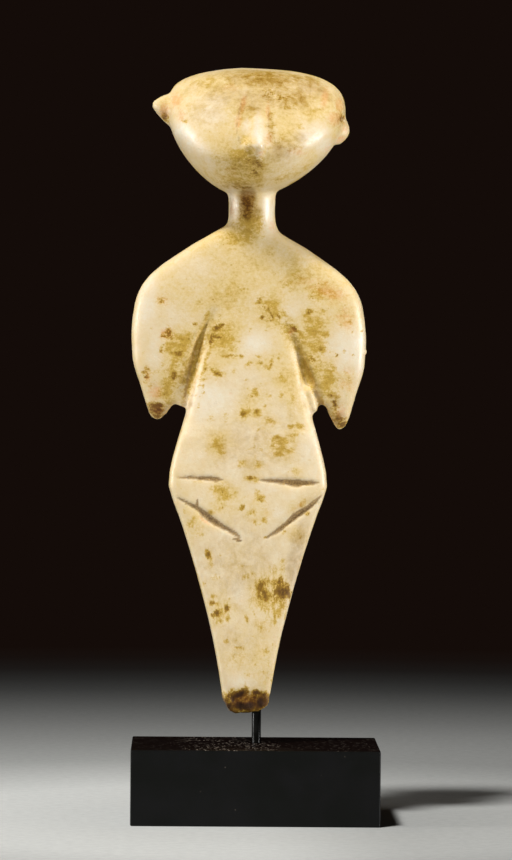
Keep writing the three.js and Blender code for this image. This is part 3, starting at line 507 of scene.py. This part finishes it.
def furrows(pixels, shake):
    """How much of a stroke each point lies in, 0 to 1, and how deep it is cut there, in millimetres."""
    shape = np.zeros(len(pixels))
    depth = np.zeros(len(pixels))
    for points, widest, half, deep in STROKES:
        along, far = along_line(points, pixels)
        # The stroke swells from its ends to its widest place, and its edges waver.
        full = np.where(along < widest, along / widest, (1.0 - along) / (1.0 - widest))
        full = np.clip(full, 0.0, 1.0) ** 0.6
        wide = 1.12 * half * (0.3 + 0.7 * full) * (0.6 + 0.8 * shake)
        here = np.clip(1.0 - far / (1.5 * wide), 0.0, 1.0)
        shape = np.maximum(shape, smooth(0.0, 0.65, here) * (0.45 + 0.55 * full))
        depth = np.maximum(depth, deep * np.minimum(here * 1.5, 1.0) * (0.3 + 0.7 * full))
    return shape, depth


def dense_copy(name, node, voxel):
    """A new object whose mesh follows a CAD node with small even faces."""
    rough = link(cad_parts[node].data.copy(), name + "_rough")
    remesh = rough.modifiers.new("even", "REMESH")
    remesh.mode = "VOXEL"
    remesh.voxel_size = voxel
    remesh.adaptivity = 0.0
    mesh = applied(rough)
    bpy.data.objects.remove(rough)
    mesh.name = name
    return link(mesh, name)


def read_points(mesh):
    flat = np.empty(len(mesh.vertices) * 3)
    mesh.vertices.foreach_get("co", flat)
    return flat.reshape(-1, 3)


def write_points(mesh, points):
    mesh.vertices.foreach_set("co", points.ravel())
    mesh.update()


def read_normals(mesh):
    flat = np.empty(len(mesh.vertices) * 3)
    mesh.vertex_normals.foreach_get("vector", flat)
    return flat.reshape(-1, 3)


def relax(mesh, points, weight, rounds):
    """Moves each point towards the middle of its neighbours, as far as its weight allows."""
    pairs = np.empty(len(mesh.edges) * 2, dtype=np.int64)
    mesh.edges.foreach_get("vertices", pairs)
    a, b = pairs.reshape(-1, 2).T
    count = len(points)
    neighbours = np.maximum(np.bincount(a, minlength=count) + np.bincount(b, minlength=count), 1)
    step = np.broadcast_to(0.5 * weight, count)[:, None]
    for _ in range(rounds):
        middle = np.empty_like(points)
        for axis in range(3):
            total = np.bincount(a, weights=points[b, axis], minlength=count)
            total += np.bincount(b, weights=points[a, axis], minlength=count)
            middle[:, axis] = total / neighbours
        points = points + (middle - points) * step
    return points


def figure_place(points):
    """Across and up the figure, as shares of its height."""
    across = (points[:, 0] / MM - AXIS_X) / HEIGHT
    level = (points[:, 2] / MM - FOOT_Z) / HEIGHT
    return across, level


def edges_kept(points):
    """How much of its edge each point keeps when the facets are smoothed away, 0 to 1."""
    across, level = figure_place(points)
    front = points[:, 1] / MM < MIDDLE_Y + 3.0
    side = np.abs(across)
    groove_place = np.interp(level, GROOVE_LEVELS, GROOVE_PLACES)
    grooves = 0.45 * near(0.016, 0.03, np.abs(side - groove_place)) * (level > 0.44) * (level < 0.645)
    ears = smooth(0.122, 0.13, side) * (level > 0.86)
    nose = near(0.026, 0.04, np.abs(across - 0.006)) * smooth(0.85, 0.87, level) * front
    nose = 0.28 * nose * near(0.965, 0.985, level)
    foot = near(0.045, 0.06, level)
    strokes = smooth(0.25, 0.26, level) * near(0.375, 0.385, level) * front * 0.7
    chin = near(0.008, 0.02, np.abs(level - 0.806)) * 0.7
    elbows = near(0.465, 0.49, level) * (side > 0.115) * 0.6
    hips = near(0.012, 0.03, np.abs(level - 0.36)) * smooth(0.095, 0.108, side)
    return np.maximum.reduce((grooves, ears, nose, foot, strokes, chin, elbows, hips))


def squared(points):
    """The torso and legs with fuller front corners. The outline seen from the front stays."""
    _, level = figure_place(points)
    slices = np.linspace(*CORNER_LEVELS)
    middles = (slices[1:] + slices[:-1]) / 2
    member = np.digitize(level, slices) - 1
    centre = np.zeros_like(points)
    inside = []
    for axis in (0, 1):
        values = points[:, axis]
        groups = [values[member == i] for i in range(len(middles))]
        low = np.interp(level, middles, [group.min() for group in groups])
        high = np.interp(level, middles, [group.max() for group in groups])
        centre[:, axis] = (low + high) / 2
        inside.append((values - centre[:, axis]) / ((high - low) / 2))
    wide, deep = np.abs(inside)
    before = (wide ** BODY_POWER + deep ** BODY_POWER) ** (1.0 / BODY_POWER)
    after = (wide ** CORNER_POWER + deep ** CORNER_POWER) ** (1.0 / CORNER_POWER)
    share = smooth(0.035, 0.07, level) * near(0.42, 0.455, level) * (inside[1] < 0.0)
    grow = 1.0 + share * (before / np.maximum(after, 1e-9) - 1.0)
    moved = points.copy()
    moved[:, :2] = centre[:, :2] + (points[:, :2] - centre[:, :2]) * grow[:, None]
    return moved


class Surface:
    """What the carving and the marks need to know about each point of the smoothed figure."""

    def __init__(self, mesh, points):
        self.normals = read_normals(mesh)
        self.pixels = seen(points)
        self.millimetres = points / MM
        across, self.level = figure_place(points)
        self.side = np.abs(across)
        self.faces_front = smooth(0.05, 0.35, -self.normals[:, 1])
        ragged = self.level + 0.02 * (self.fractal(2.4, 41) - 0.5)
        self.broken = near(0.024, 0.036, ragged)
        self.worn = painted(ROSE, self.pixels) * self.faces_front
        self.cut, self.cut_depth = furrows(self.pixels, self.fractal(1.3, 5))

    def fractal(self, size, seed, octaves=3):
        return fractal(self.millimetres, size, seed, octaves)


def relief(at):
    """How far each point rises, in millimetres: hand-carved unevenness, the strokes and the small losses."""
    rise = 0.18 * (at.fractal(13.0, 11, 2) - 0.5) + 0.09 * (at.fractal(4.0, 21, 2) - 0.5)
    rise += 0.04 * (at.fractal(1.2, 31, 2) - 0.5)
    rise -= at.cut_depth * at.faces_front
    rise += at.broken * 1.1 * (at.fractal(2.4, 51) - 0.60)
    elbow_tip = near(0.468, 0.482, at.level) * (at.side > 0.118) * (at.level > 0.42)
    rise += elbow_tip * 0.4 * (at.fractal(1.8, 61) - 0.6)
    rise -= at.worn * 0.16 * at.fractal(1.0, 71, 2)
    for height, marks in FORMS:
        rise += height * painted(marks, at.pixels)
    return rise - SINK_MM


def surface_marks(at):
    """What the material reads: for each kind of mark, one number for each point."""
    warp = np.stack([at.fractal(1.3, seed, 2) - 0.5 for seed in (81, 91)], axis=1)
    bent = at.pixels + warp * BEND_PX
    front = at.faces_front
    unseen = 1.0 - front
    cloud = at.fractal(9.0, 101)
    upper = np.where(at.pixels[:, 1] < WAIST_PX, UPPER_OCHRE, 1.0)
    umber = np.maximum(painted(UMBER, bent) * front, at.broken * (0.25 + 1.1 * at.fractal(3.0, 131)))
    return {
        "ochre": np.maximum(painted(OCHRE, bent) * upper * front, 1.1 * unseen * smooth(0.52, 0.76, cloud)),
        "umber": np.maximum(umber, 0.9 * unseen * smooth(0.66, 0.82, at.fractal(5.0, 111))),
        "rose": np.maximum(at.worn, 0.6 * unseen * smooth(0.5, 0.8, at.fractal(12.0, 121, 2))),
        "honey": np.maximum(painted(HONEY, bent) * front, unseen * smooth(0.35, 0.7, cloud)),
        "pale": painted(PALE_AND_HIGHLIGHTS, bent) * front,
        "dirt_and_shade": painted(DIRT_AND_SHADE, bent) * front,
        "groove": np.maximum(lined(LINES, at.pixels + warp), at.cut) * front,
    }


def make_figure():
    """The marble figure: the solid's form, smoothed, carved and marked."""
    piece = dense_copy("marble_idol", "figure", FIGURE_VOXEL)
    mesh = piece.data
    rough = relax(mesh, read_points(mesh), 1.0, ROUGH_ROUNDS)
    points = relax(mesh, rough, 1.0 - edges_kept(rough), SMOOTH_ROUNDS)
    points = relax(mesh, points, LAST_PULL, LAST_ROUNDS)
    # What smoothing took off evenly is put back, so that the stone stays as full as the solid.
    points = points + relax(mesh, rough - points, 1.0, REFILL_ROUNDS)
    points = squared(points)
    write_points(mesh, points)

    at = Surface(mesh, points)
    points = points + at.normals * (relief(at) * MM)[:, None]
    low, high = (np.array(corner) for corner in CAD_BOX)
    write_points(mesh, np.clip(points, low + BOX_MARGIN, high - BOX_MARGIN))
    mesh.polygons.foreach_set("use_smooth", np.ones(len(mesh.polygons), dtype=bool))
    for name, values in surface_marks(at).items():
        layer = mesh.attributes.new(name, "FLOAT", "POINT")
        layer.data.foreach_set("value", np.clip(values, 0.0, MARK_MOST))

    piece.data.materials.clear()
    piece.data.materials.append(marble_material())
    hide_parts("figure")
    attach(piece, "root")


class Shader:
    """A short way to write a material's nodes. Its place is in millimetres."""

    def __init__(self, name):
        self.material = bpy.data.materials.new(name)
        self.material.use_nodes = True
        self.nodes = self.material.node_tree.nodes
        self.links = self.material.node_tree.links
        self.surface = self.nodes["Principled BSDF"]
        self.place = self.node("TexCoord").outputs["Object"]
        self.place = self.stretched((1 / MM, 1 / MM, 1 / MM))

    def feed(self, socket, value):
        """Sets a socket to a number or a colour, or links it to another node's output."""
        if isinstance(value, (int, float)):
            socket.default_value = value
        elif isinstance(value, tuple):
            socket.default_value = (*value, 1.0)
        else:
            self.links.new(value, socket)

    def node(self, kind, **inputs):
        """A new node, with its named inputs fed."""
        node = self.nodes.new("ShaderNode" + kind)
        for name, value in inputs.items():
            self.feed(node.inputs[name], value)
        return node

    def set_input(self, name, value):
        self.feed(self.surface.inputs[name], value)

    def attribute(self, name):
        node = self.node("Attribute")
        node.attribute_name = name
        return node.outputs["Fac"]

    def stretched(self, stretch):
        if not stretch:
            return self.place
        mapping = self.node("Mapping", Vector=self.place)
        mapping.inputs["Scale"].default_value = stretch
        return mapping.outputs["Vector"]

    def noise(self, size, detail=3.0, roughness=0.55, stretch=None, distortion=0.0):
        node = self.node("TexNoise", Vector=self.stretched(stretch), Scale=1.0 / size, Detail=detail,
                         Roughness=roughness, Distortion=distortion)
        return node.outputs["Fac"]

    def cells(self, size, stretch=None):
        """How far each place is from the middle of its cell."""
        return self.node("TexVoronoi", Vector=self.stretched(stretch), Scale=1.0 / size).outputs["Distance"]

    def calc(self, operation, *values):
        node = self.node("Math")
        node.operation = operation
        for socket, value in zip(node.inputs, values):
            self.feed(socket, value)
        return node.outputs[0]

    def times(self, a, b):
        return self.calc("MULTIPLY", a, b)

    def most(self, a, b):
        return self.calc("MAXIMUM", a, b)

    def weigh(self, *terms):
        """A weighted sum of (value, weight) pairs, and of plain numbers."""
        total = None
        for term in terms:
            if isinstance(term, (int, float)):
                total = self.calc("ADD", total, term)
            elif total is None:
                total = self.times(*term)
            else:
                total = self.calc("MULTIPLY_ADD", *term, total)
        return total

    def toward(self, value, goal, amount):
        """The value moved the given share of the way to the goal."""
        node = self.node("Mix")
        node.data_type = "FLOAT"
        self.feed(node.inputs[0], amount)
        self.feed(node.inputs[2], value)
        self.feed(node.inputs[3], goal)
        return node.outputs[0]

    def span(self, value, low, high, to_low=0.0, to_high=1.0):
        """A soft step between two values."""
        node = self.node("MapRange", Value=value)
        node.interpolation_type = "SMOOTHSTEP"
        for name, number in (("From Min", low), ("From Max", high), ("To Min", to_low), ("To Max", to_high)):
            node.inputs[name].default_value = number
        return node.outputs["Result"]

    def ramp(self, value, stops):
        node = self.node("ValToRGB", Fac=value)
        elements = node.color_ramp.elements
        elements[0].position, elements[0].color = stops[0][0], (*stops[0][1], 1.0)
        elements[1].position, elements[1].color = stops[-1][0], (*stops[-1][1], 1.0)
        for position, colour in stops[1:-1]:
            elements.new(position).color = (*colour, 1.0)
        return node.outputs["Color"]

    def mix(self, amount, first, second, blend="MIX"):
        node = self.node("Mix")
        node.data_type = "RGBA"
        node.blend_type = blend
        self.feed(node.inputs[0], amount)
        self.feed(node.inputs[6], first)
        self.feed(node.inputs[7], second)
        return node.outputs[2]

    def part(self, vector, axis):
        return self.node("SeparateXYZ", Vector=vector).outputs[axis]

    def bump(self, height, strength, distance):
        node = self.node("Bump", Strength=strength, Distance=distance, Height=height)
        self.set_input("Normal", node.outputs["Normal"])


def marble_material():
    s = Shader("aged_marble")
    marks = ("ochre", "umber", "rose", "honey", "pale", "dirt_and_shade", "groove")
    ochre, umber, rose, honey, pale, dirt_and_shade, groove = (s.attribute(name) for name in marks)

    # The stains' ragged edges run upright on the legs and level further up.
    low = s.span(s.part(s.place, "Z"), 70.0, 105.0)
    upright = s.noise(1.4, 6.0, 0.66, stretch=(1.4, 1.0, 0.6))
    level = s.noise(1.4, 6.0, 0.66, stretch=(0.8, 1.0, 1.3))
    ragged = s.weigh((upright, s.calc("SUBTRACT", 1.0, low)), (level, low))
    fine = s.noise(0.5, 3.0, 0.75)
    cloud = s.noise(13.0, 3.0, 0.5)
    wisps = s.noise(4.0, 5.0, 0.6, distortion=0.8)

    # One number says how stained the stone is. First its own clouds, and the golden areas with their grain.
    clean = s.weigh((cloud, 0.20), (wisps, 0.24), (fine, 0.12), 0.025)
    # Pale marks make the stone cleaner; those on the cheeks, the nose and the sides of the neck are painted
    # highlights.
    clean = s.most(s.weigh((clean, 1.0), (pale, -0.20)), 0.0)
    mottle = s.weigh((honey, 0.55), (ragged, 1.9), (wisps, 0.8), (fine, 0.9), -1.85)
    mottle = s.times(s.span(mottle, 0.0, 0.9), honey)
    golden = s.weigh((clean, 1.0), (honey, 0.125), (mottle, 0.20))
    grain = s.weigh((s.noise(0.9, 4.0, 0.75, (1.0, 1.0, 1.3)), 0.42), -0.21)
    golden = s.weigh((golden, 1.0), (s.times(grain, s.weigh((honey, 0.6), 0.45)), 1.0))

    # Ochre patches, pale to deep.
    patch = s.weigh((ochre, 1.05), (ragged, 3.3), (fine, 1.5), -2.72)
    patch = s.times(patch, s.span(ochre, 0.0, 0.3))
    stain = s.toward(golden, 0.57, s.span(patch, -0.05, 0.95))
    stain = s.toward(stain, 0.70, s.span(patch, 0.75, 1.5))

    # Brown crusts over them, nearly black where they are thickest, and scattered specks.
    dark = s.weigh((umber, 1.1), (ragged, 1.9), (fine, 1.6), -1.75)
    dark = s.times(dark, s.span(umber, 0.0, 0.3))
    stain = s.toward(stain, 0.77, s.span(dark, 0.15, 1.10))
    black = s.weigh((umber, 1.0), (fine, 0.6), (ragged, 0.8), -0.7)
    stain = s.toward(stain, 0.97, s.span(black, 0.85, 1.55))
    speck = s.times(s.span(s.cells(2.3), 0.13, 0.05), s.span(s.noise(7.0, 2.0), 0.45, 0.62))
    stain = s.weigh((stain, 1.0), (speck, 0.14))
    stone = s.ramp(stain, STONE)

    # Worn places are rosy.
    rosy = s.span(s.weigh((rose, 0.9), (ragged, 1.4), (fine, 0.8), -1.05), 0.25, 0.95)
    rosy = s.times(rosy, s.calc("MINIMUM", s.times(rose, 1.6), 1.0))
    stone = s.mix(s.times(rosy, 0.55), stone, ROSE_TINT, "MULTIPLY")

    # Soil sits in the strokes and grooves, and soft dirt and painted shade lie over all.
    soil = s.weigh((groove, 1.15), (ragged, 1.3), (fine, 1.2), -1.25)
    soil = s.times(soil, s.span(groove, 0.0, 0.2))
    crust = s.mix(s.span(s.weigh((ragged, 1.0), (fine, 1.6)), 0.95, 1.65), CRUST_DARK, CRUST_LIGHT)
    stone = s.mix(s.span(soil, 0.0, 0.85, 0.0, 0.92), stone, crust)
    dull = s.weigh((dirt_and_shade, 1.0), (wisps, 0.9), (ragged, 0.8), -0.8)
    dull = s.times(s.span(dull, 0.0, 1.4), s.span(dirt_and_shade, 0.0, 0.5))
    s.set_input("Base Color", s.mix(dull, stone, DIRT_AND_SHADE_TINT, "MULTIPLY"))

    rough = s.span(s.noise(3.0, 3.0), 0.3, 0.7, 0.30, 0.44)
    s.set_input("Roughness", s.weigh((rough, 1.0), (stain, 0.30), (rosy, 0.08), (mottle, 0.05), -0.08))
    s.set_input("IOR", 1.5)
    s.set_input("Subsurface Weight", 0.18)
    s.surface.inputs["Subsurface Radius"].default_value = (1.0, 0.72, 0.42)
    s.set_input("Subsurface Scale", 0.0016)
    pits = s.span(s.cells(0.9), 0.0, 0.35)
    s.bump(s.weigh((fine, 0.5), (pits, 0.3), (stain, -0.9), (rosy, -0.4)), 0.5, 0.00014)
    return s.material


def black_block_material():
    s = Shader("black_lacquer")
    tone = s.span(s.noise(9.0, 3.0), 0.35, 0.65)
    colour = s.mix(tone, (0.0066, 0.0067, 0.0068), (0.0050, 0.0054, 0.0048))
    top = s.span(s.part(s.node("NewGeometry").outputs["Normal"], "Z"), 0.6, 0.95)
    # The top face is painted darker and redder than the sides: painted shade.
    colour = s.mix(s.times(top, 0.85), colour, (0.0034, 0.0012, 0.0009))

    # Dust on the top, thickest around the rod and left of it.
    across = s.part(s.place, "X")
    band = s.times(s.span(across, -21.0, -14.0, 0.12, 1.0), s.span(across, 3.0, 8.0, 1.0, 0.22))
    clouds = s.times(s.span(s.noise(6.0, 3.0), 0.38, 0.56, 0.15, 1.0), band)
    specks = s.span(s.cells(1.0, (1.0, 0.42, 1.0)), 0.30, 0.14)
    lint = s.span(s.noise(0.8, 2.0, 0.5, stretch=(0.5, 0.3, 1.0)), 0.58, 0.68)
    dust = s.times(s.most(specks, s.times(lint, 0.4)), s.times(top, clouds))
    few = s.span(s.cells(4.1), 0.06, 0.02)
    dust = s.most(dust, s.times(few, 0.3))
    s.set_input("Base Color", s.mix(s.times(dust, 0.42), colour, (0.42, 0.35, 0.28)))

    rough = s.span(s.noise(2.0, 4.0, stretch=(0.3, 0.3, 2.0)), 0.3, 0.7, 0.36, 0.50)
    s.set_input("Roughness", s.weigh((rough, 1.0), (dust, 0.3)))
    s.set_input("Specular IOR Level", 0.12)
    s.bump(s.noise(0.4, 3.0, 0.6), 0.12, 0.00005)
    return s.material


def black_rod_material():
    s = Shader("black_paint")
    tone = s.span(s.noise(1.5, 4.0), 0.35, 0.7)
    s.set_input("Base Color", s.mix(tone, (0.0028, 0.0028, 0.0022), (0.0048, 0.0046, 0.0040)))
    s.set_input("Roughness", s.span(s.noise(0.8, 3.0), 0.3, 0.7, 0.16, 0.26))
    s.set_input("Specular IOR Level", 0.60)
    s.bump(s.noise(0.3, 3.0), 0.12, 0.00004)
    return s.material


def new_piece(name, form, material, node):
    """A piece made from scratch, in the place of a CAD node."""
    piece = link(mesh_of(form, name), name)
    piece.data.materials.append(material)
    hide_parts(node)
    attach(piece, "root")
    return piece


def make_rod():
    """The rod, turned with softly rounded ends."""
    low, high = (Vector(corner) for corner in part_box("rod"))
    inner = (high.x - low.x) / 2 - ROD_EASE
    middle = (low + high) / 2
    bend = [math.pi / 2 * i / 4 for i in range(5)]
    profile = [(inner + ROD_EASE * math.sin(a), low.z + ROD_EASE - ROD_EASE * math.cos(a)) for a in bend]
    profile += [(inner + ROD_EASE * math.cos(a), high.z - ROD_EASE + ROD_EASE * math.sin(a)) for a in bend]
    turn = [2 * math.pi * i / ROD_SIDES for i in range(ROD_SIDES)]
    form = bmesh.new()
    rings = []
    for r, z in profile:
        ring = [(middle.x + r * math.cos(a), middle.y + r * math.sin(a), z) for a in turn]
        rings.append([form.verts.new(place) for place in ring])
    for lower, upper in zip(rings, rings[1:]):
        for i in range(ROD_SIDES):
            j = (i + 1) % ROD_SIDES
            form.faces.new((lower[i], lower[j], upper[j], upper[i])).smooth = True
    form.faces.new(list(reversed(rings[0])))
    form.faces.new(rings[-1])
    new_piece("rod_black", form, black_rod_material(), "rod")


def make_block():
    """The block, with rounded edges and the hole that the rod stands in."""
    low, high = (Vector(corner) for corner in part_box("block"))
    rod_low, rod_high = (Vector(corner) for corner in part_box("rod"))
    form = bmesh.new()
    bmesh.ops.create_cube(form, size=1.0)
    bmesh.ops.scale(form, verts=form.verts[:], vec=high - low)
    bmesh.ops.translate(form, verts=form.verts[:], vec=(low + high) / 2)
    bmesh.ops.bevel(form, geom=form.edges[:], offset=BLOCK_EASE, segments=4, profile=0.5, affect="EDGES")
    piece = new_piece("block_black", form, black_block_material(), "block")

    radius = (rod_high.x - rod_low.x) / 2 + SOCKET_GAP
    floor = rod_low.z - SOCKET_GAP
    depth = high.z - floor + DRILL_OVER
    centre = Vector(((rod_low.x + rod_high.x) / 2, (rod_low.y + rod_high.y) / 2, floor + depth / 2))
    form = bmesh.new()
    bmesh.ops.create_cone(
        form, cap_ends=True, segments=ROD_SIDES, radius1=radius, radius2=radius, depth=depth)
    bmesh.ops.translate(form, verts=form.verts[:], vec=centre)
    drill = link(mesh_of(form, "drill"), "drill")
    hole = piece.modifiers.new("hole", "BOOLEAN")
    hole.operation = "DIFFERENCE"
    hole.solver = "EXACT"
    hole.object = drill
    drilled = applied(piece)
    piece.modifiers.clear()
    piece.data = drilled
    bpy.data.objects.remove(drill)


def make_floor():
    """A plain pale floor with a painted pool of light: it is light around the object and fades away from it.
    """
    form = bmesh.new()
    bmesh.ops.create_circle(form, cap_ends=True, segments=96, radius=FLOOR_RADIUS)
    floor = link(mesh_of(form, "floor"), "floor")
    s = Shader("pale_floor")
    length = s.node("VectorMath")
    length.operation = "LENGTH"
    s.links.new(s.place, length.inputs[0])
    away = length.outputs["Value"]
    reach = FLOOR_LIGHT_POOL[-1][0]
    stops = [(far / reach, tuple(grey * tint for tint in FLOOR_TINT)) for far, grey in FLOOR_LIGHT_POOL]
    colour = s.ramp(s.calc("DIVIDE", away, reach), stops)
    grain = s.span(s.noise(2.5, 4.0, 0.7), 0.3, 0.7, 0.94, 1.04)
    grey = s.node("CombineColor", Red=grain, Green=grain, Blue=grain)
    colour = s.mix(1.0, colour, grey.outputs[0], "MULTIPLY")
    # A painted shadow makes the floor a little dimmer behind the object on the right.
    painted_shadow = s.times(s.span(s.part(s.place, "X"), -5.0, 40.0), s.span(s.part(s.place, "Y"), 260.0, 120.0))
    s.set_input("Base Color", s.mix(s.times(painted_shadow, 0.25), colour, (0.0, 0.0, 0.0)))
    s.set_input("Roughness", 0.8)
    s.set_input("Specular IOR Level", 0.0)
    # Far from the object the floor glows faintly in the room's dark colour: painted light that blends it
    # into the backdrop.
    s.set_input("Emission Color", ROOM)
    s.set_input("Emission Strength", s.span(away, 420.0, 650.0))
    floor.data.materials.append(s.material)


def soft_light(name, place, aim, size, power):
    data = bpy.data.lights.new(name, "AREA")
    data.shape = "RECTANGLE"
    data.size, data.size_y = size
    data.energy = power
    data.color = LIGHT_COLOUR
    light = link(data, name)
    light.location = place
    light.rotation_euler = (Vector(aim) - Vector(place)).to_track_quat("-Z", "Y").to_euler()
    return light


def light_only(light, name, pieces):
    """Keeps a light to the named pieces, so that it leaves the floor alone."""
    lit = bpy.data.collections.new(name)
    for piece in pieces:
        lit.objects.link(bpy.data.objects[piece])
    light.light_linking.receiver_collection = lit


def make_lights():
    key, _, right, front = (soft_light(*light) for light in LIGHTS)
    for light in (key, front):
        light.visible_glossy = False
    light_only(right, "stone_and_block", ("marble_idol", "block_black"))
    light_only(front, "object_only", ("marble_idol", "rod_black", "block_black"))
    world = bpy.data.worlds.new("room")
    world.use_nodes = True
    world.node_tree.nodes["Background"].inputs["Color"].default_value = (*ROOM, 1.0)
    world.node_tree.nodes["Background"].inputs["Strength"].default_value = 1.0
    bpy.context.scene.world = world


bpy.context.scene.view_settings.view_transform = "Standard"
make_camera()
make_figure()
make_rod()
make_block()
make_floor()
make_lights()

bpy.context.view_layer.update()
